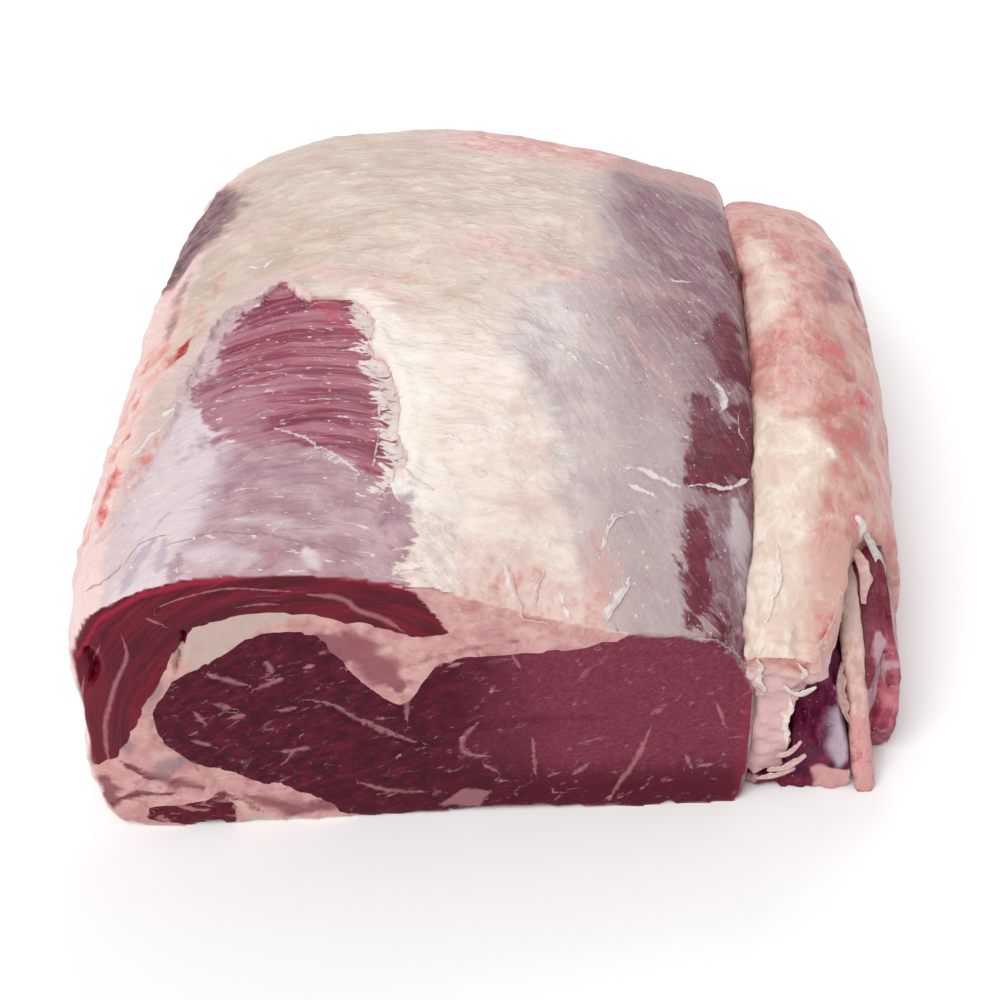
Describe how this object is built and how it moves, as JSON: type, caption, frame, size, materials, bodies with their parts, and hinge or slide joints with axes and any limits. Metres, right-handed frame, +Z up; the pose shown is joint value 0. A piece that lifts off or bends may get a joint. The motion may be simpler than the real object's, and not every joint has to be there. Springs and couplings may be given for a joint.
{
  "type": "beef entrecote",
  "caption": "Boneless raw rib eye roll in one thick piece: a marbled cut face in front, a cream fat cover with a bare muscle window on top, and a fat flap down the right side.",
  "frame": {"origin": "middle of the base, under the middle of the whole piece", "axes": "+Z up, +Y along the roll from the shown cut face to the far end, +X to the right across the cut face"},
  "size_m": [0.2694, 0.31, 0.1027],
  "materials": {
    "eye_meat": "moist raw lean meat, dark red with fine marbling",
    "cap_meat": "moist raw lean meat under a thin film",
    "corner_meat": "moist raw lean meat",
    "cover_fat": "cream fat with a grey-lilac film, slightly moist",
    "flap_fat": "cream and pink fat, slightly moist",
    "strip_membrane": "pale tendon and fat, moist",
    "inner_meat": "moist raw lean meat, dark purple",
    "outer_meat": "moist raw lean meat with grey film"
  },
  "bodies": {
    "root": {"eye_muscle": "eye_meat", "cap_muscle": "cap_meat", "corner_muscle": "corner_meat", "fat_cover": "cover_fat", "side_flap": "flap_fat", "membrane_strip": "strip_membrane", "inner_side_muscle": "inner_meat", "outer_side_muscle": "outer_meat"}
  },
  "joints": []
}
